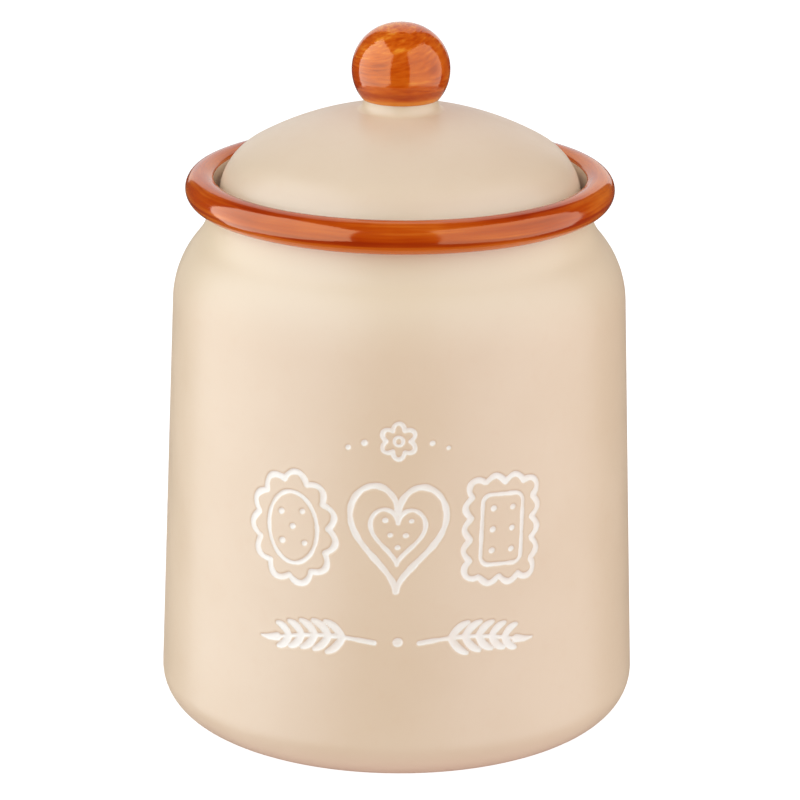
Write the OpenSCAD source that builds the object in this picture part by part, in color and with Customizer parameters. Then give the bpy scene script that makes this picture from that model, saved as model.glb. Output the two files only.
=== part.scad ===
// Biscuit jar: a glazed stoneware jar with a rolled rim and a domed lid that sits inside it.
// Millimetres, +Z up. The origin is the middle of the foot, on the surface that the jar stands on.
// Every piece is a revolve about Z, so each module draws half of a section: X is the radius.

/* [Jar body] */
// Widest diameter of the jar, just above the foot
body_d = 165; // [150:1:180]
// Rounding between the foot and the wall
foot_round = 13.6; // [11:0.2:16]
// Diameter of the jar at the middle of its shoulder arc
shoulder_d = 155.2; // [140:0.2:165]
// Height of the middle of the shoulder arc
shoulder_z = 145.8; // [110:0.2:190]
// Radius of the shoulder arc
shoulder_round = 33.2; // [28:0.2:38]
// Thickness of the wall
wall_t = 5.5; // [4.5:0.1:6]
// Thickness of the floor
floor_t = 6; // [5:0.5:8]
// Rounding inside, between the floor and the wall
floor_round = 12; // [8:0.5:14]

/* [Foot ring] */
// Width of the bare ring that the jar stands on
foot_ring_w = 7; // [5:0.5:10]
// Depth of the hollow inside the foot ring
foot_ring_h = 2.2; // [1.5:0.1:3]

/* [Neck and rim] */
// Diameter of the mouth, which the lid sits inside
mouth_d = 126.8; // [116:0.2:136]
// Thickness of the jar's own lip, between the mouth and the outside of the neck
lip_t = 2.1; // [1.6:0.1:3]
// Rounding between the shoulder and the neck
neck_round = 16; // [12:0.5:20]
// Height from where the neck stands upright to the middle of the rim bead
neck_h = 7.3; // [6.4:0.1:12]
// Thickness of the rim bead
bead_t = 11.3; // [10:0.1:13]
// Distance of the bead's middle outside the mouth
bead_set = 4; // [3.4:0.1:4.6]
// Thickness of the bead where it covers the lip's inner edge
bead_cover = 0.6; // [0.4:0.1:1.2]

/* [Lid seat] */
// Depth of the ledge that carries the lid, below the middle of the bead
seat_drop = 4.8; // [3.6:0.1:5.4]
// Width of the ledge, from the mouth in to the throat
ledge_w = 6.9; // [5.5:0.1:8]
// Rounding of the ledge's inner edge
throat_round = 0.8; // [0.5:0.1:1]
// Rounding in the corner between the ledge and the mouth
ledge_round = 1.2; // [0.8:0.1:1.4]

/* [Lid] */
// Gap all round between the lid's edge and the mouth
lid_gap = 1.8; // [1.5:0.1:2.2]
// Rounding of the lid's lower edge
lid_edge_round = 1.5; // [1.5:0.1:1.8]
// Radius of the arc that turns the lid's edge over into its crown
lid_shoulder_round = 20.3; // [18:0.1:23]
// Radius of the lid's crown
crown_round = 103; // [98:0.5:110]
// Thickness of the crown
crown_t = 5; // [4:0.1:5.5]
// Radius inside the lid, between its skirt and its crown
lid_inner_round = 14; // [10:0.5:18]

/* [Lid skirt and seal] */
// Gap between the skirt and the throat
skirt_gap = 2; // [1.8:0.1:2.5]
// Thickness of the skirt
skirt_t = 4.5; // [4:0.1:5]
// Depth of the groove that holds the seal
groove_depth = 1.5; // [1:0.1:1.8]
// Height of the groove
groove_h = 5.5; // [5:0.1:6]
// Distance from the ledge down to the top of the groove
groove_drop = 1.6; // [1.2:0.1:2]
// Height of the skirt below the groove
skirt_tail = 3.9; // [3:0.1:6]
// Clearance of the seal in its groove and of its lips in the throat
seal_fit = 0.05; // [0.03:0.01:0.1]
// Height that the seal's band stands out of its groove
seal_proud = 0.4; // [0.2:0.1:0.8]
// Number of lips on the seal
lip_count = 2; // [1:1:2]
// Thickness of a lip at its root
lip_root_t = 1.2; // [1:0.1:1.4]
// Thickness of a lip at its tip
lip_tip_t = 0.6; // [0.4:0.1:0.8]
// Height that a lip's tip stands above its root, so that it trails as the lid goes in
lip_sweep = 0.8; // [0.5:0.1:1]

/* [Knob] */
// Diameter of the knob
knob_d = 33.3; // [29:0.1:38]
// Distance from the axis to the middle of the knob's side arc, which makes the ball a little wide
knob_side_r = 0.95; // [0.5:0.05:2]
// How much the radius of the knob's flatter top exceeds the knob's own
knob_top_extra = 3.35; // [2:0.05:8]
// Thickness of the hollow knob's wall
knob_wall_t = 5; // [4:0.1:6]
// Diameter of the lid's neck
knob_neck_d = 25.4; // [22:0.1:27]
// Height of the neck's upright part, above its rounding
knob_neck_h = 0.8; // [0.4:0.1:3]
// Rounding between the crown and the lid's neck
knob_neck_round = 3; // [2:0.1:5]
// Distance that the knob's flat stands out all round over the neck
knob_overhang = 0.3; // [0:0.1:1]
// Diameter of the vent that let the kiln's air out of the hollow knob
vent_d = 6; // [4:0.5:8]

/* [Hidden] */

cream_glaze = "#dcc4a8";
brown_glaze = "#b64c0e";
white_silicone = "#e9e6df";

// Steps in each arc of an outline, and round the circles
arc_steps = 18;
$fn = 144;

// Radii of the jar
body_r = body_d / 2;
foot_r = body_r - foot_round;
foot_inner_r = foot_r - foot_ring_w;
mouth_r = mouth_d / 2;
neck_r = mouth_r + lip_t;
throat_r = mouth_r - ledge_w;

// Middles of the arcs in the jar's section
foot_mid = [foot_r, foot_round];
shoulder_mid = [shoulder_d / 2 - shoulder_round, shoulder_z];
shoulder_inner_round = shoulder_round - wall_t;
floor_z = foot_ring_h + floor_t;
floor_mid = [body_r - wall_t - floor_round, floor_z + floor_round];

// The neck's hollow arc touches the shoulder arc and the upright neck
neck_reach = shoulder_round + neck_round;
neck_step_r = neck_r + neck_round - shoulder_mid.x;
neck_step_z = sqrt(pow(neck_reach, 2) - pow(neck_step_r, 2));
neck_mid = shoulder_mid + [neck_step_r, neck_step_z];
neck_angle = atan2(neck_step_z, neck_step_r);

// The rim bead, the ledge below its middle, and the lip that it covers
bead_mid = [mouth_r + bead_set, neck_mid.y + neck_h];
seat_z = bead_mid.y - seat_drop;
lip_z = bead_mid.y + sqrt(pow(bead_t / 2, 2) - pow(bead_set, 2)) - bead_cover;

// The wall leans in by these angles, outside and inside
wall_lean = tangent_angle(foot_mid, foot_round, shoulder_mid, shoulder_round);
inner_lean = tangent_angle(floor_mid, floor_round, shoulder_mid, shoulder_inner_round);
// Where the inside of the shoulder has turned in as far as the throat
throat_angle = acos((throat_r - shoulder_mid.x) / shoulder_inner_round);

// Lid: the edge arc and the crown are tangent, and the crown's middle is on the axis
lid_r = mouth_r - lid_gap;
lid_edge_z = seat_z + lid_edge_round;
lid_shoulder_mid = [lid_r - lid_shoulder_round, lid_edge_z];
crown_angle = acos(lid_shoulder_mid.x / (crown_round - lid_shoulder_round));
crown_mid_z = lid_edge_z - (crown_round - lid_shoulder_round) * sin(crown_angle);

// The lid's neck and the rounding at its foot
knob_neck_r = knob_neck_d / 2;
fillet_r = knob_neck_r + knob_neck_round;
fillet_rise = sqrt(pow(crown_round + knob_neck_round, 2) - pow(fillet_r, 2));
fillet_angle = atan2(fillet_rise, fillet_r);
fillet_mid = [fillet_r, crown_mid_z + fillet_rise];
knob_seat_z = fillet_mid.y + knob_neck_h;
vent_r = vent_d / 2;

// Inside of the lid
skirt_r = throat_r - skirt_gap;
skirt_inner_r = skirt_r - skirt_t;
crown_inner_round = crown_round - crown_t;
lid_inner_mid_r = skirt_inner_r - lid_inner_round;
lid_inner_angle = acos(lid_inner_mid_r / (crown_inner_round - lid_inner_round));
lid_inner_mid_z = crown_mid_z + (crown_inner_round - lid_inner_round) * sin(lid_inner_angle);

// Groove and seal
groove_r = skirt_r - groove_depth;
groove_top_z = seat_z - groove_drop;
groove_z = groove_top_z - groove_h;
skirt_z = groove_z - skirt_tail;
seal_inner_r = groove_r + seal_fit;
seal_outer_r = skirt_r + seal_proud;
seal_top_z = groove_top_z - seal_fit;
lip_tip_r = throat_r - seal_fit;
lip_pitch = (seal_top_z - groove_z) / lip_count;

// Knob: a side arc off the axis, and a flatter top arc tangent to it
knob_r = knob_d / 2;
knob_side_round = knob_r - knob_side_r;
knob_top_round = knob_r + knob_top_extra;
knob_seat_r = knob_neck_r + knob_overhang;
knob_z = knob_seat_z + sqrt(pow(knob_side_round, 2) - pow(knob_seat_r - knob_side_r, 2));
knob_seat_angle = asin((knob_seat_z - knob_z) / knob_side_round);
knob_top_angle = acos(knob_side_r / (knob_top_round - knob_side_round));
knob_top_mid_z = knob_z - (knob_top_round - knob_side_round) * sin(knob_top_angle);

// Direction square to the line that touches two circles on their outer sides
function tangent_angle(mid_a, r_a, mid_b, r_b) =
    let (step = mid_b - mid_a)
    atan2(step.y, step.x) - acos((r_a - r_b) / norm(step));

// Points along a round stretch of an outline
function arc(mid, r, from, to) = [
    for (i = [0:arc_steps])
        let (a = from + (to - from) * i / arc_steps)
        mid + r * [cos(a), sin(a)]
];

// Jar: foot ring, leaning wall, shoulder, neck with the ledge for the lid, and a plain inside
module jar_body() {
    outside = concat(
        [[0, foot_ring_h], [foot_inner_r - foot_ring_h, foot_ring_h], [foot_inner_r, 0]],
        arc(foot_mid, foot_round, -90, wall_lean),
        arc(shoulder_mid, shoulder_round, wall_lean, neck_angle),
        arc(neck_mid, neck_round, 180 + neck_angle, 180),
        [[neck_r, lip_z]]
    );
    inside = concat(
        [[mouth_r, lip_z]],
        arc([mouth_r - ledge_round, seat_z + ledge_round], ledge_round, 0, -90),
        arc([throat_r + throat_round, seat_z - throat_round], throat_round, 90, 180),
        arc(shoulder_mid, shoulder_inner_round, throat_angle, inner_lean),
        arc(floor_mid, floor_round, inner_lean, -90),
        [[0, floor_z]]
    );
    color(cream_glaze)
    rotate_extrude()
    polygon(concat(outside, inside));
}

// Rim: the roll round the mouth, which wraps the jar's lip outside and over its top
module rim_bead() {
    color(brown_glaze)
    rotate_extrude()
    difference() {
        translate(bead_mid)
        circle(d = bead_t);
        square([neck_r, lip_z]);
        square([mouth_r, lip_z + bead_t]);
    }
}

// Lid: domed shell with a rounded edge, a skirt that centres it in the throat, and a short neck
module lid_dome() {
    skirt_end = skirt_t / 2;
    skirt = concat(
        arc([skirt_inner_r + skirt_end, skirt_z + skirt_end], skirt_end, 180, 360),
        [[skirt_r, groove_z], [groove_r, groove_z], [groove_r, groove_top_z], [skirt_r, groove_top_z]],
        [[skirt_r, seat_z]]
    );
    dome = concat(
        arc([lid_r - lid_edge_round, lid_edge_z], lid_edge_round, -90, 0),
        arc(lid_shoulder_mid, lid_shoulder_round, 0, crown_angle),
        arc([0, crown_mid_z], crown_round, crown_angle, fillet_angle),
        arc(fillet_mid, knob_neck_round, 180 + fillet_angle, 180),
        [[knob_neck_r, knob_seat_z], [vent_r, knob_seat_z]]
    );
    inside = concat(
        arc([0, crown_mid_z], crown_inner_round, acos(vent_r / crown_inner_round), lid_inner_angle),
        arc([lid_inner_mid_r, lid_inner_mid_z], lid_inner_round, lid_inner_angle, 0)
    );
    color(cream_glaze)
    rotate_extrude()
    polygon(concat(skirt, dome, inside));
}

// Knob: a hollow ball, a little flat on top, cast by itself and stuck on the lid's neck
module lid_knob() {
    color(brown_glaze)
    rotate_extrude()
    difference() {
        polygon(concat(
            [[0, knob_seat_z]],
            arc([knob_side_r, knob_z], knob_side_round, knob_seat_angle, knob_top_angle),
            arc([0, knob_top_mid_z], knob_top_round, knob_top_angle, 90)
        ));
        translate([0, knob_z])
        circle(r = knob_r - knob_wall_t);
        square([vent_r, knob_z]);
    }
}

// Seal: a soft band in the skirt's groove, with lips that wipe the throat
module lid_seal() {
    lips = [
        for (i = [0:lip_count - 1])
            let (z = groove_z + (i + 0.5) * lip_pitch - (lip_root_t + lip_sweep) / 2)
            each [
                [seal_outer_r, z],
                [lip_tip_r, z + lip_sweep],
                [lip_tip_r, z + lip_sweep + lip_tip_t],
                [seal_outer_r, z + lip_root_t]
            ]
    ];
    color(white_silicone)
    rotate_extrude()
    polygon(concat(
        [[seal_inner_r, groove_z], [seal_outer_r, groove_z]],
        lips,
        [[seal_outer_r, seal_top_z], [seal_inner_r, seal_top_z]]
    ));
}

jar_body();
rim_bead();
lid_dome();
lid_knob();
lid_seal();
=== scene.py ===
"""Looks of the biscuit jar: glazes, hand-cut decoration, seal, floor, lights and camera.

Metres and +Z up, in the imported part's own frame. Outlines are in millimetres and are
scaled once, where a mesh is made. Every piece is turned about Z, as the part's solids are.
"""

import math

import bpy
import numpy as np
from mathutils import Matrix, Vector


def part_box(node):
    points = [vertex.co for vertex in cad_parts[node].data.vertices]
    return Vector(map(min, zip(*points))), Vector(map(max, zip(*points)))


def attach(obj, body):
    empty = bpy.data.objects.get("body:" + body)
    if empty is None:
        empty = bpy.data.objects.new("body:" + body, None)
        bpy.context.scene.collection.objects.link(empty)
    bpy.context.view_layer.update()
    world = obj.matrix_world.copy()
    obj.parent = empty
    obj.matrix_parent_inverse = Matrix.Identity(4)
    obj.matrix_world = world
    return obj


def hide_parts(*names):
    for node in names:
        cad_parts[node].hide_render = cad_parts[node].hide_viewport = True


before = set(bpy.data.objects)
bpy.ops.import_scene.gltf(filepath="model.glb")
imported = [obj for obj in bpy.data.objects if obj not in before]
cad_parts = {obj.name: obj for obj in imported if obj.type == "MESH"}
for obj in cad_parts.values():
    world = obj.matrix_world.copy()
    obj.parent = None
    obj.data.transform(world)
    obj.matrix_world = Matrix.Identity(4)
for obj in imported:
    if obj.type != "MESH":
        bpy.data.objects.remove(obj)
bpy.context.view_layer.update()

MM = 0.001


# ---------------------------------------------------------------- sizes, in millimetres

def top(node):
    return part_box(node)[1].z / MM


def bottom(node):
    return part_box(node)[0].z / MM


def radius(node):
    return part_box(node)[1].x / MM


body_r = radius("jar_body")
foot_round = 13.6
foot_ring_w = 7
foot_ring_h = 2.2
foot_edge = 0.8
shoulder_r = 77.6
shoulder_z = 145.8
shoulder_round = 33.2
wall_t = 5.5
floor_t = 6
floor_round = 12

bead_t = top("rim_bead") - bottom("rim_bead")
bead_mid = (radius("rim_bead") - bead_t / 2, (top("rim_bead") + bottom("rim_bead")) / 2)
bead_set = 4
bead_corner = 1.1
seat_drop = 4.8
ledge_w = 6.9
mouth_r = bead_mid[0] - bead_set
lip_t = 2.1
lip_z = top("jar_body")
neck_r = mouth_r + lip_t
neck_round = 16
seat_z = bead_mid[1] - seat_drop
throat_r = mouth_r - ledge_w
throat_round = 0.8
ledge_round = 1.2

lid_r = radius("lid_dome")
lid_edge_round = 1.5
lid_shoulder_round = 20.3
crown_round = 103
crown_t = 5
lid_inner_round = 14
skirt_gap = 2
skirt_r = throat_r - skirt_gap
skirt_t = 4.5
skirt_z = bottom("lid_dome")
groove_depth = 1.5
groove_r = skirt_r - groove_depth
seal_fit = 0.05
groove_top_z = top("lid_seal") + seal_fit
groove_z = bottom("lid_seal")
groove_edge = 0.35
vent_r = 3

knob_r = radius("lid_knob")
knob_side_r = 0.95
knob_side_round = knob_r - knob_side_r
knob_top_extra = 3.35
knob_top_round = knob_r + knob_top_extra
knob_neck_r = 12.7
knob_neck_round = 3
knob_seat_z = bottom("lid_knob")
knob_overhang = 0.3
knob_seat_r = knob_neck_r + knob_overhang
knob_wall_t = 5
knob_foot_round = 0.7

seal_proud = 0.4
seal_corner = 0.2
seal_inner_r = groove_r + seal_fit
seal_outer_r = skirt_r + seal_proud
seal_lips = 2
lip_tip_r = radius("lid_seal")
lip_root_t = 1.2
lip_tip_t = 0.6
lip_sweep = 0.8


# ---------------------------------------------------------------- outlines

def arc(mid, r, start, end, step=1.5):
    """Points along a round stretch, at most step apart; angles in degrees."""
    count = max(3, math.ceil(abs(math.radians(end - start)) * r / step))
    angles = np.radians(np.linspace(start, end, count + 1))
    return [(mid[0] + r * math.cos(a), mid[1] + r * math.sin(a)) for a in angles]


def line(start, end, step):
    """Points between two others, which aren't repeated."""
    count = max(1, math.ceil(math.dist(start, end) / step))
    return [tuple(np.array(start) + (np.array(end) - start) * i / count) for i in range(1, count)]


def tangent_angle(mid_a, r_a, mid_b, r_b):
    """Direction square to the line that touches two circles on their outer sides."""
    step = np.subtract(mid_b, mid_a)
    return math.degrees(math.atan2(step[1], step[0]) - math.acos((r_a - r_b) / np.hypot(*step)))


def jar_outline(wall_step):
    """The jar's section, from the middle of the underside outwards, up, over the lip and down
    inside, and the first and last point of its bare foot ring."""
    foot_r = body_r - foot_round
    ring_r = foot_r - foot_ring_w
    foot_mid = (foot_r, foot_round)
    shoulder_mid = (shoulder_r - shoulder_round, shoulder_z)
    inner_round = shoulder_round - wall_t
    floor_z = foot_ring_h + floor_t
    floor_mid = (body_r - wall_t - floor_round, floor_z + floor_round)
    lean = tangent_angle(foot_mid, foot_round, shoulder_mid, shoulder_round)
    inner_lean = tangent_angle(floor_mid, floor_round, shoulder_mid, inner_round)
    reach = neck_r + neck_round - shoulder_mid[0]
    rise = math.sqrt((shoulder_round + neck_round) ** 2 - reach ** 2)
    neck_mid = (neck_r + neck_round, shoulder_z + rise)
    neck_angle = math.degrees(math.atan2(rise, reach))
    throat_angle = math.degrees(math.acos((throat_r - shoulder_mid[0]) / inner_round))

    underside = [(0, foot_ring_h)] + line((0, foot_ring_h), (ring_r - foot_ring_h, foot_ring_h), 12)
    underside += arc((ring_r - foot_ring_h, foot_ring_h / 2), foot_ring_h / 2, 90, 0)
    ring = arc((ring_r + foot_edge, foot_edge), foot_edge, 180, 270, 0.4)
    ring += line((ring_r + foot_edge, 0), (foot_r, 0), 2)
    ring += arc(foot_mid, foot_round, -90, -84)
    foot = arc(foot_mid, foot_round, -84, lean)[1:]
    shoulder = arc(shoulder_mid, shoulder_round, lean, neck_angle)
    wall = line(foot[-1], shoulder[0], wall_step)
    neck = arc(neck_mid, neck_round, 180 + neck_angle, 180)[1:]
    lip = [(neck_r, lip_z), (mouth_r, lip_z)]
    ledge = arc((mouth_r - ledge_round, seat_z + ledge_round), ledge_round, 0, -90, 0.4)
    throat = arc((throat_r + throat_round, seat_z - throat_round), throat_round, 90, 180, 0.3)
    inner_shoulder = arc(shoulder_mid, inner_round, throat_angle, inner_lean, 2.5)
    floor_arc = arc(floor_mid, floor_round, inner_lean, -90, 2.5)
    inner_wall = line(inner_shoulder[-1], floor_arc[0], 6)
    floor = line(floor_arc[-1], (0, floor_z), 12) + [(0, floor_z)]
    points = underside + ring + foot + wall + shoulder + neck + lip + ledge + throat
    points += inner_shoulder + inner_wall + floor_arc + floor
    bare = (len(underside), len(underside) + len(ring))
    return points, bare


def bead_outline():
    """The rolled rim's section: a circle that wraps the lip, with its inner corner softened."""
    r = bead_t / 2
    corner_r = bead_set - bead_corner
    corner_rise = math.sqrt((r - bead_corner) ** 2 - corner_r ** 2)
    corner_mid = (bead_mid[0] - corner_r, bead_mid[1] + corner_rise)
    corner_angle = math.degrees(math.atan2(corner_rise, -corner_r))
    neck_drop = math.sqrt(r ** 2 - (bead_mid[0] - neck_r) ** 2)
    start = math.degrees(math.atan2(-neck_drop, neck_r - bead_mid[0])) % 360 - 360
    points = arc(bead_mid, r, start, corner_angle, 0.4)
    points += arc(corner_mid, bead_corner, corner_angle, 180, 0.3)[1:]
    points += [(mouth_r, lip_z), (neck_r, lip_z)]
    return points + line((neck_r, lip_z), points[0], 2)


def lid_outline():
    """The lid's section: skirt and seal groove, rounded edge, crown, neck and hollow inside."""
    edge_z = seat_z + lid_edge_round
    shoulder_mid = (lid_r - lid_shoulder_round, edge_z)
    crown_angle = math.degrees(math.acos(shoulder_mid[0] / (crown_round - lid_shoulder_round)))
    crown_mid_z = edge_z - (crown_round - lid_shoulder_round) * math.sin(math.radians(crown_angle))
    fillet_r = knob_neck_r + knob_neck_round
    fillet_rise = math.sqrt((crown_round + knob_neck_round) ** 2 - fillet_r ** 2)
    fillet_angle = math.degrees(math.atan2(fillet_rise, fillet_r))
    inner_round = crown_round - crown_t
    skirt_inner_r = skirt_r - skirt_t
    inner_mid_r = skirt_inner_r - lid_inner_round
    inner_angle = math.degrees(math.acos(inner_mid_r / (inner_round - lid_inner_round)))
    inner_rise = (inner_round - lid_inner_round) * math.sin(math.radians(inner_angle))
    vent_angle = math.degrees(math.acos(vent_r / inner_round))
    half = skirt_t / 2

    points = arc((skirt_inner_r + half, skirt_z + half), half, 180, 360, 0.5)
    points += [(skirt_r, groove_z - groove_edge), (skirt_r - groove_edge, groove_z)]
    points += [(groove_r, groove_z), (groove_r, groove_top_z)]
    points += [(skirt_r - groove_edge, groove_top_z), (skirt_r, groove_top_z + groove_edge)]
    points += [(skirt_r, seat_z)] + line((skirt_r, seat_z), (lid_r - lid_edge_round, seat_z), 2)
    points += arc((lid_r - lid_edge_round, edge_z), lid_edge_round, -90, 0, 0.4)
    points += arc(shoulder_mid, lid_shoulder_round, 0, crown_angle, 1)[1:]
    points += arc((0, crown_mid_z), crown_round, crown_angle, fillet_angle, 1.5)[1:]
    fillet_mid = (fillet_r, crown_mid_z + fillet_rise)
    points += arc(fillet_mid, knob_neck_round, 180 + fillet_angle, 180, 0.3)[1:]
    points += [(knob_neck_r, knob_seat_z), (vent_r, knob_seat_z)]
    points += arc((0, crown_mid_z), inner_round, vent_angle, inner_angle, 3)
    inner_mid = (inner_mid_r, crown_mid_z + inner_rise)
    points += arc(inner_mid, lid_inner_round, inner_angle, 0, 1.5)[1:]
    return points


def knob_outline():
    """The hollow ball's section, with the vent up its middle and its lower edge softened."""
    seat_rise = math.sqrt(knob_side_round ** 2 - (knob_seat_r - knob_side_r) ** 2)
    knob_z = knob_seat_z + seat_rise
    top_angle = math.degrees(math.acos(knob_side_r / (knob_top_round - knob_side_round)))
    top_mid_z = knob_z - (knob_top_round - knob_side_round) * math.sin(math.radians(top_angle))
    foot_z = knob_seat_z + knob_foot_round
    foot_reach = knob_side_round - knob_foot_round
    foot_r = knob_side_r + math.sqrt(foot_reach ** 2 - (knob_z - foot_z) ** 2)
    foot_angle = math.degrees(math.atan2(foot_z - knob_z, foot_r - knob_side_r))
    hollow = knob_r - knob_wall_t
    vent_angle = math.degrees(math.acos(vent_r / hollow))

    points = [(vent_r, knob_seat_z)] + line((vent_r, knob_seat_z), (foot_r, knob_seat_z), 3)
    points += arc((foot_r, foot_z), knob_foot_round, -90, foot_angle, 0.2)
    points += arc((knob_side_r, knob_z), knob_side_round, foot_angle, top_angle, 0.5)[1:]
    points += arc((0, top_mid_z), knob_top_round, top_angle, 90, 0.5)[1:]
    points += arc((0, knob_z), hollow, 90, -vent_angle, 2)
    return points


def seal_outline():
    """The soft ring's section: a band in the groove, with lips that trail as the lid goes in."""
    seal_top = groove_top_z - seal_fit
    pitch = (seal_top - groove_z) / seal_lips
    corner_r = seal_outer_r - seal_corner
    points = [(seal_inner_r, groove_z), (corner_r, groove_z)]
    points += [(seal_outer_r, groove_z + seal_corner)]
    for i in range(seal_lips):
        z = groove_z + (i + 0.5) * pitch - (lip_root_t + lip_sweep) / 2
        tip_z = z + lip_sweep + lip_tip_t / 2
        points += [(seal_outer_r, z)]
        points += arc((lip_tip_r - lip_tip_t / 2, tip_z), lip_tip_t / 2, -90, 90, 0.15)
        points += [(seal_outer_r, z + lip_root_t)]
    points += [(seal_outer_r, seal_top - seal_corner)]
    return points + [(corner_r, seal_top), (seal_inner_r, seal_top)]


# ---------------------------------------------------------------- decoration on the front wall
# Positions are (along, up) in millimetres: along the wall from the front line towards +X, and up
# from the middle of the decoration. A stroke is its points and the half width at each.

DECOR_Z = 89
DECOR_RADIUS = 80.9
BOLD = 1.08
FINE = 0.78
THIN = 0.6
DOT = 1.0
SMALL_DOT = 0.85
FAR = 5.0  # no stroke is looked for beyond this distance
GRAIN_LEAN = 42
GRAIN_LENGTH = 8.0


def stroke(points, half_width):
    """The hand presses a little more and less along the way."""
    points = np.array(points, float)
    reach = np.concatenate([[0], np.cumsum(np.hypot(*np.diff(points, axis=0).T))])
    press = 1 + 0.09 * np.sin(0.55 * reach + points[0, 0]) + 0.06 * np.sin(1.3 * reach + 2)
    return points, half_width * press


def dot(x, y, r=DOT):
    return stroke([(x, y), (x + 0.25, y + 0.1)], r)


def loop(curve, count=120):
    """A curve of one angle, taken once round, so that its last point is its first."""
    t = np.linspace(0, 2 * math.pi, count)
    return np.stack(curve(t), axis=1)


def scallop(points, lobes, swell):
    """Pushes a closed curve outwards into round lobes of even width."""
    step = np.diff(points, axis=0, append=points[:1])
    length = np.hypot(*step.T)
    along = (np.cumsum(length) - length) / length.sum()
    ahead = np.roll(points, -1, axis=0) - np.roll(points, 1, axis=0)
    normal = np.stack([ahead[:, 1], -ahead[:, 0]], axis=1) / np.hypot(*ahead.T)[:, None]
    return points + normal * (swell * np.abs(np.sin(math.pi * lobes * along)))[:, None]


def rounded_box(width, height, corner):
    """A closed box outline with round corners, as evenly spaced points, anticlockwise."""
    mids = [(1, -1, -90), (1, 1, 0), (-1, 1, 90), (-1, -1, 180)]
    corners = []
    for side_x, side_y, start in mids:
        mid = (side_x * (width / 2 - corner), side_y * (height / 2 - corner))
        corners += arc(mid, corner, start, start + 90, 0.3)
    return even(np.array(corners + corners[:1]), 160)[:-1]


def even(points, count):
    """The same curve with evenly spaced points."""
    reach = np.concatenate([[0], np.cumsum(np.hypot(*np.diff(points, axis=0).T))])
    places = np.linspace(0, reach[-1], count)
    return np.stack([np.interp(places, reach, points[:, k]) for k in (0, 1)], axis=1)


def place(strokes, x, y, turn=0.0):
    """The strokes turned anticlockwise, in degrees, and then moved."""
    c, s = math.cos(math.radians(turn)), math.sin(math.radians(turn))
    spin = np.array([[c, s], [-s, c]])
    return [(points @ spin + (x, y), width) for points, width in strokes]


def close(points):
    """Joins a loop's end to its start, with one step of overlap so that no notch shows."""
    return np.concatenate([points, points[:2]])


def round_biscuit():
    rim = loop(lambda t: (13.0 * np.cos(t), 16.6 * np.sin(t)), 240)[:-1]
    drawn = [stroke(close(scallop(rim, 11, 2.7)), BOLD)]
    drawn.append(stroke(close(loop(lambda t: (9.0 * np.cos(t), 12.2 * np.sin(t)))[:-1]), FINE))
    spots = [(0, 0.3), (-4.0, 5.2), (3.9, 5.6), (-4.2, -4.8), (4.1, -5.2)]
    return drawn + [dot(x, y) for x, y in spots]


def heart(width, height):
    """A plain heart, as a formula in one angle."""
    return loop(lambda t: (
        width / 2 * np.sin(t) ** 3,
        height / 29 * (13 * np.cos(t) - 5 * np.cos(2 * t) - 2 * np.cos(3 * t) - np.cos(4 * t)),
    ), 160)


def heart_biscuit():
    inner = heart(18.5, 19) + (0, -0.9)
    drawn = [stroke(close(heart(32.5, 36)[:-1]), BOLD), stroke(close(inner[:-1]), FINE)]
    stitches = [(-4.4, 3.2), (4.4, 3.2), (-2.6, -1.8), (2.6, -1.8), (0, -6.0)]
    return drawn + [dot(x, y, SMALL_DOT) for x, y in stitches]


def box_biscuit():
    drawn = [stroke(close(scallop(rounded_box(22.5, 32.0, 4.5), 14, 2.4)), BOLD)]
    drawn.append(stroke(close(rounded_box(15.0, 24.0, 3)), FINE))
    spots = [(x, y) for y in (-7.2, 0, 7.2) for x in (-3.6, 3.6)]
    return drawn + [dot(x, y) for x, y in spots]


def daisy_biscuit():
    rim = loop(lambda t: (4.0 * np.cos(t), 4.0 * np.sin(t)), 160)[:-1]
    hole = loop(lambda t: (1.5 * np.cos(t), 1.5 * np.sin(t)), 40)[:-1]
    return [stroke(close(scallop(rim, 6, 2.1)), FINE), stroke(close(hole), THIN)]


def wheat(length, grains):
    """An ear of wheat lying along +X: a bowed stem with grains in pairs, shorter to its tip."""
    x = np.linspace(0, length, 40)
    stem_y = 2.2 * np.sin(math.pi * x / length)
    drawn = [stroke(np.stack([x, stem_y], axis=1), np.linspace(0.9, 0.6, 40))]
    first = 0.3 * length
    pitch = (length - first) / grains
    for i in range(grains):
        root = np.array([first + i * pitch, np.interp(first + i * pitch, x, stem_y)])
        size = GRAIN_LENGTH - 0.5 * i
        for side in (1, -1):
            lean = math.radians(side * GRAIN_LEAN)
            t = np.linspace(0, 1, 9)
            bow = side * 0.9 * np.sin(math.pi * t)
            grain = np.stack([size * t * math.cos(lean), size * t * math.sin(lean) + bow], axis=1)
            half_width = 0.55 + 0.85 * np.sin(math.pi * (0.18 + 0.72 * t))
            drawn.append((root + grain, half_width))
    tip = [(length, 0), (length + 3.2, -0.5), (length + 6.2, -0.3)]
    drawn.append(stroke(tip, np.array([1.4, 1.2, 0.5])))
    return drawn


def mirrored(strokes):
    return [(points * (-1, 1), width) for points, width in strokes]


def decoration():
    """Three biscuits in a row, a small one above them, and two ears of wheat below."""
    ear = place(wheat(34, 5), 7.5, -38.5, -3)
    drawn = place(daisy_biscuit(), 0.2, 30.8)
    drawn += place(round_biscuit(), -36.4, -1.3, 4)
    drawn += place(heart_biscuit(), 0.1, 0.6, -1.5)
    drawn += place(box_biscuit(), 36.2, -1.3, -3)
    drawn += ear + mirrored(ear)
    drawn += [dot(0.2, -38.2, 1.5)]
    for side in (-1, 1):
        drawn += [dot(side * 11.5, 30.0, 0.95), dot(side * 17.0, 28.2, 0.8)]
    return drawn


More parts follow.
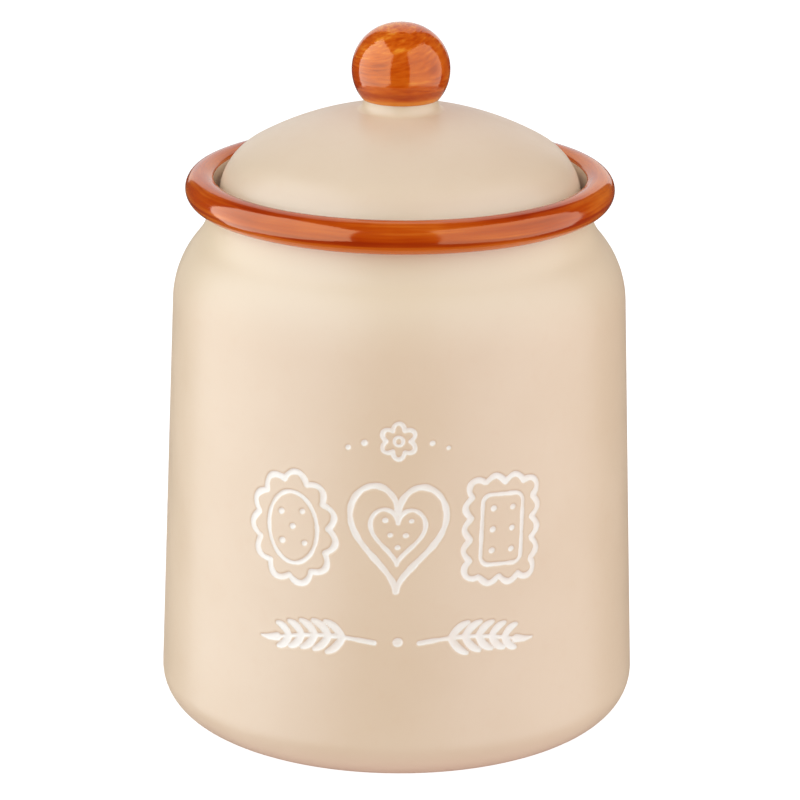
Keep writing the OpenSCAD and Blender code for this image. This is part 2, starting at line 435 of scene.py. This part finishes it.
def distance_to(strokes, along, up):
    """Signed distance from each point to the nearest stroke's edge: below zero inside a stroke."""
    nearest = np.full(along.shape, FAR)
    for points, width in strokes:
        low, high = points.min(0) - FAR, points.max(0) + FAR
        near = (along > low[0]) & (along < high[0]) & (up > low[1]) & (up < high[1])
        at = np.stack([along[near], up[near]], axis=1)
        best = nearest[near]
        for a, b, width_a, width_b in zip(points[:-1], points[1:], width[:-1], width[1:]):
            span = b - a
            t = np.clip((at - a) @ span / max(span @ span, 1e-9), 0, 1)
            gap = np.hypot(*(at - a - t[:, None] * span).T) - (width_a + (width_b - width_a) * t)
            best = np.minimum(best, gap)
        nearest[near] = best
    return nearest


# ---------------------------------------------------------------- meshes

def smooth_step(x, low, high):
    t = np.clip((x - low) / (high - low), 0, 1)
    return t * t * (3 - 2 * t)


def turned(name, outline, angles):
    """Turns a closed outline (anticlockwise, radius and height in mm) about Z into a mesh.
    Returns the object, its points in mm and, for each face, its stretch of the outline."""
    outline = np.array(outline, float)
    count = len(angles)
    ring = np.stack([np.cos(angles), np.sin(angles)], axis=1)
    on_axis = outline[:, 0] < 1e-6
    starts = np.cumsum(np.where(on_axis, 1, count)) - np.where(on_axis, 1, count)
    points = np.concatenate([
        [[0, 0, z]] if middle else np.column_stack([r * ring, np.full(count, z)])
        for (r, z), middle in zip(outline, on_axis)])
    ahead = np.roll(np.arange(count), -1)
    faces, face_rows = [], []
    for i in range(len(outline)):
        j = (i + 1) % len(outline)
        if on_axis[i] and on_axis[j]:
            continue
        here, there = starts[i] + np.arange(count), starts[j] + np.arange(count)
        if on_axis[i]:
            made = np.column_stack([np.full(count, starts[i]), there[ahead], there])
        elif on_axis[j]:
            made = np.column_stack([here, here[ahead], np.full(count, starts[j])])
        else:
            made = np.column_stack([here, here[ahead], there[ahead], there])
        faces.extend(made.tolist())
        face_rows.extend([i] * count)
    mesh = bpy.data.meshes.new(name)
    mesh.from_pydata((points * MM).tolist(), [], faces)
    mesh.polygons.foreach_set("use_smooth", [True] * len(faces))
    piece = bpy.data.objects.new(name, mesh)
    bpy.context.scene.collection.objects.link(piece)
    return piece, points, np.array(face_rows)


def set_points(piece, points):
    piece.data.vertices.foreach_set("co", (points * MM).ravel())
    piece.data.update()


def add_values(piece, name, values):
    layer = piece.data.attributes.new(name, "FLOAT", "POINT")
    layer.data.foreach_set("value", np.asarray(values, np.float32))


def evenly(step):
    """A whole turn of angles, a step in degrees apart."""
    return np.radians(np.arange(0, 360, step))


CREASE = 40
ROUND_CREASE = 50


def finish_mesh(piece, crease=CREASE):
    piece.data.set_sharp_from_angle(angle=math.radians(crease))
    piece.data.validate()


def waviness(angles, waves, seed):
    """A gentle wander round the turn, as a sum of a few whole waves, between about -1 and 1."""
    rng = np.random.default_rng(seed)
    total = sum(
        np.sin(n * angles + rng.uniform(0, 2 * math.pi)) / k for k, n in enumerate(waves, 1))
    return total / sum(1 / k for k in range(1, len(waves) + 1))


FRONT = -math.pi / 2
FRONT_HALF = math.radians(41)
FINE_TURN = math.radians(0.4)
COARSE_TURN = math.radians(3)
WALL_STEP = 0.55
CUT_DEPTH = 0.34
CUT_BANK = 0.05
NECK_LIGHT_FROM, NECK_LIGHT_TO = 152, 172


def build_jar():
    """The jar, with a fine mesh at the front, where the decoration is cut into it."""
    outline, bare = jar_outline(WALL_STEP)
    front = np.arange(FRONT - FRONT_HALF, FRONT + FRONT_HALF, FINE_TURN)
    rest = np.arange(FRONT + FRONT_HALF, FRONT + 2 * math.pi - FRONT_HALF, COARSE_TURN)
    piece, points, face_rows = turned("jar_glazed", outline, np.concatenate([front, rest]))
    reach = np.hypot(points[:, 0], points[:, 1])
    height = points[:, 2].copy()
    angle = (np.arctan2(points[:, 1], points[:, 0]) - FRONT + math.pi) % (2 * math.pi) - math.pi
    outside = (reach > body_r - wall_t + 0.5) & (height > foot_round)
    distance = np.full(len(points), FAR)
    distance[outside] = distance_to(
        decoration(), angle[outside] * DECOR_RADIUS, height[outside] - DECOR_Z)
    cut = smooth_step(-distance, -0.2, 0.55) * CUT_DEPTH
    bank = CUT_BANK * np.exp(-((distance - 0.5) / 0.35) ** 2)
    moved = np.where(outside, (bank - cut) / np.maximum(reach, 1), 0)
    points[:, :2] *= 1 + moved[:, None]
    set_points(piece, points)
    add_values(piece, "inlay", distance)
    # Painted light: the glaze is painted paler up the neck, where the rim shades it.
    add_values(piece, "painted_light", smooth_step(height, NECK_LIGHT_FROM, NECK_LIGHT_TO))
    # Painted shade: the ledge under the lid is painted dark, where the lid shades it.
    on_ledge = (reach > throat_r - 1) & (reach < mouth_r - 0.1) & (np.abs(height - seat_z) < 2)
    add_values(piece, "ledge", on_ledge)
    # Painted light: the mouth's inner wall and the foot's round are painted paler still, where they
    # lie in shade.
    in_mouth = (reach < mouth_r + 0.3) * smooth_step(height, seat_z + 0.4, seat_z + 1.5)
    on_foot = smooth_step(height, foot_round, 0.25 * foot_round)
    add_values(piece, "painted_bright", np.maximum(on_foot, in_mouth))
    materials = [cream_glaze("cream_glaze"), bare_clay("bare_clay")]
    for material in materials:
        piece.data.materials.append(material)
    is_bare = (face_rows >= bare[0]) & (face_rows < bare[1] - 1)
    piece.data.polygons.foreach_set("material_index", is_bare.astype(int))
    finish_mesh(piece)
    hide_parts("jar_body")
    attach(piece, "jar")
    return materials[0]


RIM_WANDER = 0.06
SIDE_PAINTED_LIGHT = 0.16


def build_bead(glaze):
    """The rim, whose outer side wanders a little inwards from a true ring, as hand work does.
    Its brown is painted lighter at the left and right ends: painted light."""
    piece, points, _ = turned("rim_glazed", bead_outline(), evenly(1))
    reach = np.hypot(points[:, 0], points[:, 1])
    angle = np.arctan2(points[:, 1], points[:, 0])
    out, up = reach - bead_mid[0], points[:, 2] - bead_mid[1]
    section = np.degrees(np.arctan2(up, out))
    outer = (np.hypot(out, up) > bead_t / 2 - 0.3) & (out > 1 - bead_set)
    wander = RIM_WANDER * (waviness(angle, (3, 5, 8, 13), 5) - 1) * outer
    points[:, :2] *= (1 + wander * out / bead_t * 2 / reach)[:, None]
    points[:, 2] += wander * up / bead_t * 2
    set_points(piece, points)
    add_values(piece, "band", section + 3.5 * waviness(angle, (4, 7, 11, 17), 9))
    # Painted light: the rim's left and right ends are painted lighter.
    add_values(piece, "thin", SIDE_PAINTED_LIGHT * smooth_step(np.abs(np.cos(angle)), 0.65, 0.95))
    piece.data.materials.append(glaze)
    finish_mesh(piece, ROUND_CREASE)
    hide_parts("rim_bead")
    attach(piece, "jar")


LID_LIGHT_FROM, LID_LIGHT_TO, LID_BRIGHT_TO = 194, 184, 187


def build_lid(glaze):
    """The lid, with no cut lines and painted light towards its edge: a paler cream where the rim
    shades it.
    """
    piece, points, _ = turned("lid_glazed", lid_outline(), evenly(1.5))
    add_values(piece, "inlay", np.full(len(points), FAR))
    # Painted light: the lid is painted paler towards its lower edge, where the rim shades it.
    add_values(piece, "painted_light", 0.8 * smooth_step(points[:, 2], LID_LIGHT_FROM, LID_LIGHT_TO))
    add_values(piece, "painted_bright", 0.6 * smooth_step(points[:, 2], LID_LIGHT_FROM, LID_BRIGHT_TO))
    piece.data.materials.append(glaze)
    finish_mesh(piece)
    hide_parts("lid_dome")
    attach(piece, "lid")


def build_knob(glaze):
    """The ball, whose brown is lighter on top, most of all on its left."""
    piece, points, _ = turned("knob_glazed", knob_outline(), evenly(2.5))
    angle = np.arctan2(points[:, 1], points[:, 0])
    height = points[:, 2] - knob_seat_z
    add_values(piece, "band", -34 + 6.5 * height + 2.5 * waviness(angle, (2, 5, 7), 3))
    to_left = smooth_step(-np.cos(angle), -0.9, 0.9)
    on_top = smooth_step(height, 0.8 * knob_r, 1.2 * knob_r)
    add_values(piece, "thin", (0.06 + 0.1 * to_left) * on_top)
    piece.data.materials.append(glaze)
    finish_mesh(piece, ROUND_CREASE)
    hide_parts("lid_knob")
    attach(piece, "lid")


def build_seal(rubber):
    piece, _, _ = turned("seal_ring", seal_outline(), evenly(2))
    piece.data.materials.append(rubber)
    finish_mesh(piece)
    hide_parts("lid_seal")
    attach(piece, "seal")


# ---------------------------------------------------------------- materials

def srgb(red, green, blue):
    """A screen colour, 0 to 255, as linear light."""
    channels = [c / 255 for c in (red, green, blue)]
    return [c / 12.92 if c <= 0.04045 else ((c + 0.055) / 1.055) ** 2.4 for c in channels] + [1]


class Tree:
    """A node tree in short form: an input that is given a socket is linked, and others are set."""

    def __init__(self, owner):
        owner.use_nodes = True
        self.tree = owner.node_tree
        self.tree.nodes.clear()

    def add(self, kind, inputs=None, output=0, **settings):
        made = self.tree.nodes.new("ShaderNode" + kind)
        for key, value in settings.items():
            setattr(made, key, value)
        for key, value in (inputs or {}).items():
            if isinstance(value, bpy.types.NodeSocket):
                self.tree.links.new(value, made.inputs[key])
            else:
                made.inputs[key].default_value = value
        return made.outputs[output] if made.outputs else None

    def math(self, operation, *values):
        return self.add("Math", dict(enumerate(values)), operation=operation)

    def span(self, value, low, high, to_low=0.0, to_high=1.0):
        """Maps low..high to to_low..to_high along a smooth step."""
        inputs = {
            "Value": value, "From Min": low, "From Max": high,
            "To Min": to_low, "To Max": to_high,
        }
        return self.add("MapRange", inputs, interpolation_type="SMOOTHSTEP")

    def mix(self, factor, first, second):
        inputs = {"Factor": factor, "A": first, "B": second}
        made = self.tree.nodes.new("ShaderNodeMix")
        made.data_type = "RGBA"
        for name, value in inputs.items():
            socket = next(s for s in made.inputs if s.name == name and s.enabled)
            if isinstance(value, bpy.types.NodeSocket):
                self.tree.links.new(value, socket)
            else:
                socket.default_value = value
        return next(s for s in made.outputs if s.enabled)

    def noise(self, vector, scale, detail):
        return self.add("TexNoise", {"Vector": vector, "Scale": scale, "Detail": detail})

    def ramp(self, factor, stops):
        made = self.tree.nodes.new("ShaderNodeValToRGB")
        elements = made.color_ramp.elements
        while len(elements) < len(stops):
            elements.new(0.5)
        for element, (position, colour) in zip(elements, stops):
            element.position = position
            element.color = colour
        self.tree.links.new(factor, made.inputs["Fac"])
        return made.outputs["Color"]

    def split(self, vector):
        made = self.tree.nodes.new("ShaderNodeSeparateXYZ")
        self.tree.links.new(vector, made.inputs[0])
        return made.outputs

    def position(self):
        """Object coordinates, in metres."""
        return self.add("TexCoord", output=3)

    def value(self, name):
        return self.add("Attribute", output=2, attribute_name=name)

    def bump(self, height, strength, distance, normal=None):
        inputs = {"Height": height, "Strength": strength, "Distance": distance}
        if normal is not None:
            inputs["Normal"] = normal
        return self.add("Bump", inputs)

    def surface(self, inputs):
        shader = self.add("BsdfPrincipled", inputs)
        self.add("OutputMaterial", {"Surface": shader})


CREAM = srgb(218, 194, 166)
CREAM_PALE = srgb(221, 198, 171)
CREAM_WARM = srgb(216, 184, 152)
# Painted light: the next two are paler creams laid where parts of the jar shade it. Painted shade:
# the dark colour after them is laid on the ledge under the lid.
CREAM_LIT = srgb(225, 205, 177)
CREAM_BRIGHT_LIT = srgb(236, 216, 190)
LEDGE_SHADE = srgb(92, 58, 36)
WHITE_SLIP = srgb(238, 231, 222)
WHITE_THIN = srgb(235, 221, 206)


def cream_glaze(name):
    """Satin glaze: soft clouds of colour, an orange-peel skin, and white slip in the cut lines.
    The mesh says where light is painted in as a paler cream, and where shade is painted on the
    ledge under the lid as a dark colour: a value that a mesh doesn't have reads as zero."""
    material = bpy.data.materials.new(name)
    t = Tree(material)
    at = t.position()
    clouds = t.span(t.noise(at, 22, 3), 0.3, 0.7)
    fine = t.noise(at, 260, 2)
    colour = t.mix(clouds, CREAM, CREAM_PALE)
    colour = t.mix(t.span(fine, 0.5, 0.8, 0, 0.12), colour, CREAM_WARM)
    # Painted light: the next two mixes lay paler cream where the jar's own parts shade it. Painted
    # shade: the third lays a dark colour on the ledge under the lid.
    colour = t.mix(t.value("painted_light"), colour, CREAM_LIT)
    colour = t.mix(t.value("painted_bright"), colour, CREAM_BRIGHT_LIT)
    colour = t.mix(t.value("ledge"), colour, LEDGE_SHADE)
    wander = t.math("MULTIPLY", t.math("SUBTRACT", t.noise(at, 900, 2), 0.5), 0.22)
    distance = t.math("ADD", t.value("inlay"), wander)
    slip = t.span(distance, 0.2, -0.3)
    pooled = t.span(distance, 0.75, 0.1, 0, 0.22)
    colour = t.mix(pooled, colour, CREAM_WARM)
    thin = t.span(t.noise(at, 150, 3), 0.42, 0.72, 0, 0.55)
    colour = t.mix(slip, colour, t.mix(thin, WHITE_SLIP, WHITE_THIN))
    peel = t.noise(at, 420, 2)
    swell = t.noise(at, 60, 1)
    rough = t.math("ADD", t.span(swell, 0.3, 0.7, 0.35, 0.4), t.span(peel, 0.3, 0.7, -0.015, 0.015))
    rough = t.math("SUBTRACT", rough, t.math("MULTIPLY", slip, 0.06))
    normal = t.bump(swell, 0.1, 0.0006)
    normal = t.bump(peel, 0.05, 0.0003, normal)
    normal = t.bump(t.span(distance, 0.3, -0.4), 0.35, -0.0003, normal)
    t.surface({
        "Base Color": colour, "Roughness": rough, "IOR": 1.5, "Specular IOR Level": 0.47,
        "Specular Tint": (0.49, 0.71, 1, 1), "Normal": normal,
    })
    return material


def bare_clay(name):
    """Unglazed stoneware on the foot ring: pale, dry and a little gritty."""
    material = bpy.data.materials.new(name)
    t = Tree(material)
    at = t.position()
    grit = t.noise(at, 1400, 3)
    colour = t.mix(t.span(t.noise(at, 90, 3), 0.3, 0.7), srgb(226, 214, 198), srgb(209, 194, 174))
    colour = t.mix(t.span(grit, 0.62, 0.75, 0, 0.35), colour, srgb(150, 128, 104))
    rough = t.span(grit, 0.2, 0.8, 0.72, 0.9)
    t.surface({"Base Color": colour, "Roughness": rough, "Normal": t.bump(grit, 0.4, 0.0002)})
    return material


RIM_BROWNS = [srgb(148, 36, 0), srgb(170, 55, 0), srgb(184, 72, 2), srgb(208, 104, 22)]
KNOB_BROWNS = [srgb(162, 48, 0), srgb(190, 74, 2), srgb(206, 94, 12), srgb(230, 140, 40)]
RIM_BRUSH = (0.8, 0.3, 0.35)
KNOB_BRUSH = (0.75, 0.5, 0.4)
TONE_STOPS = (0.28, 0.46, 0.62, 0.82)
LEAN_FROM_Z, LEAN_TO_Z = 0.224, 0.236
STREAKS = ((1.5, 260, 2), (2.6, 1000, 1))  # spread along the brush, across it, and detail


def brown_glaze(name, browns, brush, lean):
    """Glossy red-brown glaze, brushed round the piece, thin and orange where the brush left less.
    Above the middle of a leaning piece the brush marks climb towards +X."""
    material = bpy.data.materials.new(name)
    t = Tree(material)
    at = t.position()
    x, y, z = t.split(at)
    reach = t.math("SQRT", t.math("ADD", t.math("MULTIPLY", x, x), t.math("MULTIPLY", y, y)))
    turn = t.math("ARCTAN2", y, x)
    wave = t.math("MULTIPLY", t.math("SUBTRACT", t.noise(at, 60, 1), 0.5), 0.0012)
    height = t.math("ADD", z, wave)
    if lean:
        rising = t.math("MULTIPLY", t.span(z, LEAN_FROM_Z, LEAN_TO_Z), -lean)
        height = t.math("ADD", height, t.math("MULTIPLY", rising, x))
    streaks = []
    for length, width, detail in STREAKS:
        along = t.add("CombineXYZ", {
            0: t.math("MULTIPLY", t.math("COSINE", turn), length),
            1: t.math("MULTIPLY", t.math("SINE", turn), length),
            2: t.math("MULTIPLY", height, width),
        })
        across = t.math("MULTIPLY", reach, width)
        inputs = {"Vector": along, "W": across, "Scale": 1.0, "Detail": detail}
        streaks.append(t.add("TexNoise", inputs, noise_dimensions="4D"))
    broad, narrow = streaks
    patches = t.noise(at, 55, 2)
    tone = 0.5
    for layer, weight in zip((broad, narrow, patches), brush):
        tone = t.math("ADD", tone, t.math("MULTIPLY", t.math("SUBTRACT", layer, 0.5), weight))
    # The mesh's value lightens the tone: painted light on the rim's left and right ends; on the
    # knob, lighter towards the top, most of all on its left.
    tone = t.math("ADD", tone, t.value("thin"))
    colour = t.ramp(tone, list(zip(TONE_STOPS, browns)))
    band = t.value("band")
    deep, _, _, thin = browns
    colour = t.mix(t.span(band, -20, -28, 0, 0.75), colour, thin)
    dark_line = t.math("MULTIPLY", t.span(band, -22, -13), t.span(band, -2, -9))
    colour = t.mix(t.math("MULTIPLY", dark_line, 0.6), colour, deep)
    rough = t.span(narrow, 0.3, 0.7, 0.08, 0.14)
    normal = t.bump(broad, 0.15, 0.0006)
    normal = t.bump(narrow, 0.2, 0.0002, normal)
    t.surface({
        "Base Color": colour, "Roughness": rough, "IOR": 1.7, "Specular Tint": (1, 0.76, 0.44, 1),
        "Normal": normal,
    })
    return material


def silicone(name):
    """Soft milky rubber with a little bloom on its surface."""
    material = bpy.data.materials.new(name)
    t = Tree(material)
    at = t.position()
    bloom = t.noise(at, 120, 3)
    colour = t.mix(t.span(bloom, 0.3, 0.7), srgb(238, 236, 230), srgb(228, 225, 218))
    rough = t.span(t.noise(at, 500, 2), 0.3, 0.7, 0.42, 0.56)
    t.surface({
        "Base Color": colour, "Roughness": rough, "IOR": 1.41, "Subsurface Weight": 0.35,
        "Subsurface Radius": (0.004, 0.004, 0.0036), "Subsurface Scale": 0.5,
        "Normal": t.bump(bloom, 0.08, 0.0002),
    })
    return material


# ---------------------------------------------------------------- camera, floor and light

CAMERA_TILT = math.radians(17.474)
CAMERA_ROLL = 0.0075635
CAMERA_DISTANCE = 1.2773
CAMERA_TARGET = (0.0005, 0, 0.10924)
CAMERA_LENS = 165.965


def build_camera():
    """Looks along +Y and down. Its lens and place come from the jar's outline in the photo."""
    c, s = math.cos(CAMERA_TILT), math.sin(CAMERA_TILT)
    forward, up, right = Vector((0, c, -s)), Vector((0, s, c)), Vector((1, 0, 0))
    rolled_right = math.cos(CAMERA_ROLL) * right + math.sin(CAMERA_ROLL) * up
    rolled_up = math.cos(CAMERA_ROLL) * up - math.sin(CAMERA_ROLL) * right
    turn = Matrix((rolled_right, rolled_up, -forward)).transposed().to_4x4()
    place_at = Vector(CAMERA_TARGET) - CAMERA_DISTANCE * forward
    data = bpy.data.cameras.new("camera")
    data.lens = CAMERA_LENS
    data.sensor_width = 36
    camera = bpy.data.objects.new("camera", data)
    camera.matrix_world = Matrix.Translation(place_at) @ turn
    bpy.context.scene.collection.objects.link(camera)
    bpy.context.scene.camera = camera


def build_floor():
    """A white table that only the camera sees: its light on the jar is the dome's lower half."""
    reach = 6.0
    mesh = bpy.data.meshes.new("floor")
    corners = [(-reach, -reach, 0), (reach, -reach, 0), (reach, reach, 0), (-reach, reach, 0)]
    mesh.from_pydata(corners, [], [(0, 1, 2, 3)])
    floor = bpy.data.objects.new("floor", mesh)
    bpy.context.scene.collection.objects.link(floor)
    floor.location.z = -0.0002
    material = bpy.data.materials.new("floor")
    t = Tree(material)
    t.surface({
        "Base Color": (0.2, 0.2, 0.2, 1), "Roughness": 0.9, "Specular IOR Level": 0.0,
        "Emission Color": (1, 1, 1, 1), "Emission Strength": 1.0,
    })
    mesh.materials.append(material)
    floor.visible_diffuse = False
    floor.visible_glossy = False
    floor.visible_shadow = False


PANEL_GAP = 0.02
SHADING_COLOUR = (0.93, 1, 1)


def soft_box(name, azimuths, distances, heights, shading, shine):
    """A flat light panel that stands between two directions from the jar, facing it.
    Azimuths are in degrees from the camera's side, with +X positive. The panel is made twice: as
    it shows in a gloss, and close behind that, as it lights a matt surface."""
    ends = []
    for azimuth, distance in zip(azimuths, distances):
        a = math.radians(azimuth)
        ends.append(Vector((math.sin(a) * distance, -math.cos(a) * distance, 0)))
    middle = (ends[0] + ends[1]) / 2 + Vector((0, 0, sum(heights) / 2))
    along = (ends[1] - ends[0]).normalized()
    facing = along.cross(Vector((0, 0, 1)))
    if facing.dot(middle) > 0:
        along, facing = -along, -facing
    up = (-facing).cross(along)
    for use, radiance, back in (("shine", shine, 0), ("shading", shading, PANEL_GAP)):
        data = bpy.data.lights.new(f"{name}_{use}", "AREA")
        data.shape = "RECTANGLE"
        data.size = (ends[1] - ends[0]).length
        data.size_y = heights[1] - heights[0]
        data.energy = radiance * math.pi * data.size * data.size_y
        if use == "shading":
            data.color = SHADING_COLOUR
        light = bpy.data.objects.new(f"{name}_{use}", data)
        turn = Matrix((along, up, -facing)).transposed().to_4x4()
        light.matrix_world = Matrix.Translation(middle - back * facing) @ turn
        light.visible_camera = False
        light.visible_diffuse = use == "shading"
        light.visible_glossy = use == "shine"
        bpy.context.scene.collection.objects.link(light)


# Levels of the room's soft light, each (height of the direction, colour).
ZENITH = (0.9, (0.62, 0.44, 0.55))
SKY = [
    [(0.2, (0.60, 0.64, 0.60)), (0.48, (0.90, 1.22, 1.22)), (0.6, (0.90, 1.22, 1.22)), ZENITH],
    [(0.2, (0.46, 0.42, 0.40)), (0.48, (0.86, 0.95, 0.90)), (0.6, (0.86, 0.95, 0.90)), ZENITH],
    [(0.2, (0.36, 0.30, 0.28)), (0.48, (0.34, 0.34, 0.34)), (0.6, (0.34, 0.34, 0.34)), ZENITH],
    [(0.2, (0.80, 0.60, 0.45)), (0.48, (0.34, 0.34, 0.34)), (0.6, (0.34, 0.34, 0.34)), ZENITH],
]
TABLE_FAR = [(0.62, 0.30, 0.30), (0.16, 0.14, 0.14)]
TABLE_NEAR = [(0.60, 0.30, 0.30), (0.95, 0.75, 0.75)]
DOME = 1.5
DARK_STUDIO = 0.06


def build_world():
    """White behind the jar as the camera sees it, a dark studio in a gloss, and on matt surfaces
    the soft light of the room: SKY is its level by height, in front on the left and right and
    behind on the left and right, and TABLE that of the table in the middle and to the sides."""
    world = bpy.data.worlds.new("studio")
    bpy.context.scene.world = world
    t = Tree(world)

    def level(colour):
        return [c / DOME for c in colour] + [1]

    ray = t.tree.nodes.new("ShaderNodeLightPath")
    across, depth, up = t.split(t.add("TexCoord"))
    quarters = [t.ramp(up, [(at, level(colour)) for at, colour in stops]) for stops in SKY]
    to_right = t.span(across, -0.1, 0.5)
    front, rear = (t.mix(to_right, left, right) for left, right in (quarters[:2], quarters[2:]))
    dome = t.mix(t.span(depth, -0.2, 0.2), front, rear)
    aside = t.span(t.math("ABSOLUTE", across), 0.25, 0.6)
    far, near = (t.mix(aside, *map(level, table)) for table in (TABLE_FAR, TABLE_NEAR))
    table = t.mix(t.span(up, -0.35, -0.7), far, near)
    dome = t.mix(t.span(up, 0.05, -0.05), dome, table)
    seen = t.mix(ray.outputs["Is Glossy Ray"], dome, level([DARK_STUDIO] * 3))
    seen = t.mix(ray.outputs["Is Camera Ray"], seen, (1, 1, 1, 1))
    background = t.add("Background", {"Color": seen, "Strength": DOME})
    t.add("OutputWorld", {"Surface": background})


def build_lights():
    soft_box("left", (-25, -114), (1.415, 0.875), (-0.4, 1.6), 1.12, 2.9)
    soft_box("right", (20.5, 108), (1.07, 1.15), (-0.455, 1.545), 0.98, 1.85)
    soft_box("back", (-154, 154), (0.9, 0.9), (0.145, 1.87), 0.8, 0.85)


build_camera()
build_world()
build_lights()
build_floor()
bpy.context.scene.view_settings.view_transform = "Standard"

glaze = build_jar()
build_lid(glaze)
build_bead(brown_glaze("brown_glaze_rim", RIM_BROWNS, RIM_BRUSH, lean=0))
build_knob(brown_glaze("brown_glaze_knob", KNOB_BROWNS, KNOB_BRUSH, lean=0.5))
build_seal(silicone("silicone"))
